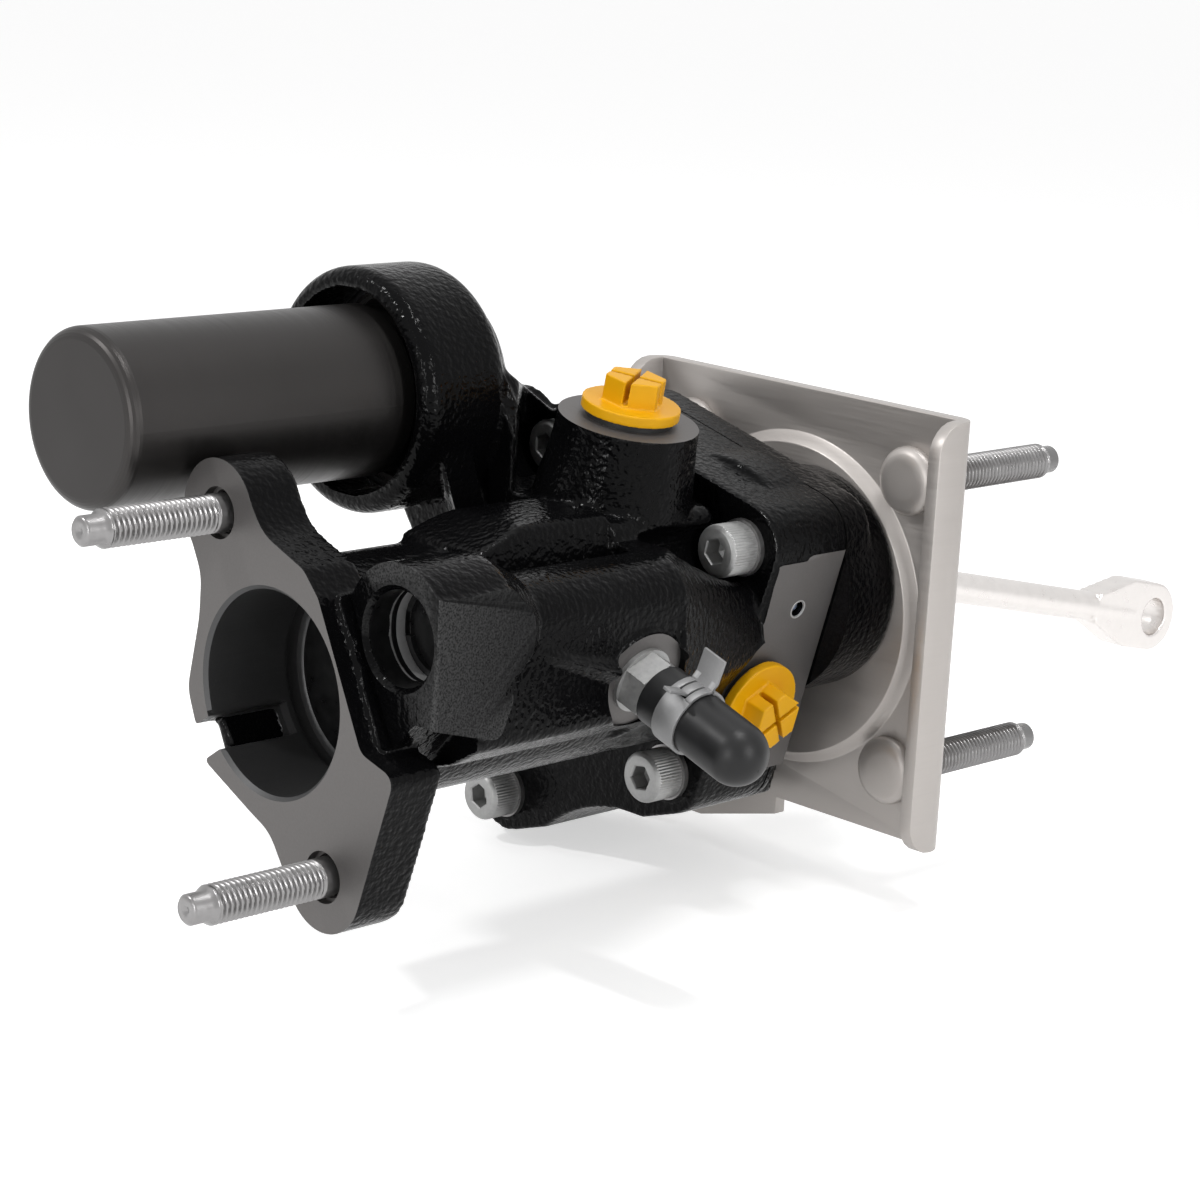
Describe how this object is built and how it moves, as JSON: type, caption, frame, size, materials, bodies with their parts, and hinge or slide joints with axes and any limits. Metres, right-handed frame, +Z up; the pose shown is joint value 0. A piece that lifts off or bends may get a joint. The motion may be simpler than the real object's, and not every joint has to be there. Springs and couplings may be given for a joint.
{
  "type": "hydraulic brake booster",
  "caption": "Hydraulic brake booster with cast housing, gas accumulator, firewall bracket, master cylinder flange and a bent pedal rod.",
  "frame": {"origin": "centre of the four firewall studs on the bracket's back face", "axes": "+Y towards the pedal along the studs, -Y towards the master cylinder, +Z up, +X to the port side"},
  "size_m": [0.1751, 0.4108, 0.169],
  "materials": {
    "casting": "gloss black paint over cast texture, machined faces bare grey",
    "bracket_steel": "brushed, warm grey",
    "zinc_steel": "bright zinc",
    "screw_steel": "grey phosphate",
    "plain_steel": "plain ground steel",
    "can_paint": "dark brown-grey satin",
    "seal_rubber": "smooth black rubber",
    "plug_yellow": "satin yellow-orange plastic",
    "cap_rubber": "black rubber",
    "clamp_steel": "light grey spring steel",
    "gasket": "dark fibre"
  },
  "bodies": {
    "booster": {"bracket": "bracket_steel", "firewall_studs": "zinc_steel", "front_housing": "casting", "rear_housing": "casting", "housing_screws": "screw_steel", "screw_washers": "zinc_steel", "hub_nut": "screw_steel", "joint_gasket": "gasket", "master_cylinder_studs": "zinc_steel", "accumulator_can": "can_paint", "accumulator_seal": "seal_rubber", "accumulator_snap_ring": "plain_steel", "top_port_plug": "plug_yellow", "top_plug_seal": "seal_rubber", "side_port_plug": "plug_yellow", "side_plug_seal": "seal_rubber", "return_fitting": "screw_steel", "rubber_cap": "cap_rubber", "spring_clamp": "clamp_steel", "ball_plug": "plain_steel", "valve_plug": "screw_steel", "valve_plug_seal": "seal_rubber", "valve_snap_ring": "plain_steel", "valve_spring": "plain_steel", "lever_pin": "plain_steel", "return_spring": "plain_steel", "spring_seat": "plain_steel", "stem_seal": "seal_rubber", "rod_boot": "seal_rubber"},
    "power_piston": {"power_piston": "plain_steel", "piston_seal": "seal_rubber", "output_rod": "plain_steel", "rod_retainer": "plain_steel"},
    "pedal_rod": {"pedal_rod": "zinc_steel"},
    "valve_spool": {"valve_spool": "plain_steel"},
    "valve_lever": {"valve_lever": "plain_steel"},
    "accumulator_piston": {"accumulator_piston": "plain_steel", "accumulator_piston_seal": "seal_rubber"}
  },
  "joints": [
    {"name": "piston_stroke", "type": "slide", "parent": "booster", "child": "power_piston", "axis": [0, -1, 0], "range_m": [0, 0.036], "stiffness_N_per_m": 1500, "springref_m": -0.02, "deforming": ["return_spring", "rod_boot"]},
    {"name": "rod_tilt", "type": "hinge", "parent": "power_piston", "child": "pedal_rod", "pos_m": [0, -0.01, 0], "axis": [1, 0, 0], "range_deg": [-4, 4]},
    {"name": "spool_slide", "type": "slide", "parent": "booster", "child": "valve_spool", "axis": [0, -1, 0], "range_m": [0, 0.0025], "stiffness_N_per_m": 2500, "springref_m": -0.001, "deforming": ["valve_spring"]},
    {"name": "lever_swing", "type": "hinge", "parent": "booster", "child": "valve_lever", "pos_m": [0.02617, -0.102, 0.01467], "axis": [0.4891, 0, -0.8722], "range_deg": [0, 12.6]},
    {"name": "accumulator_slide", "type": "slide", "parent": "booster", "child": "accumulator_piston", "axis": [0, -1, 0], "range_m": [0, 0.06], "stiffness_N_per_m": 1500, "springref_m": -0.02}
  ],
  "couplings": [
    {"joint": "lever_swing", "follows": "spool_slide", "rad_per_m": 86.9}
  ]
}
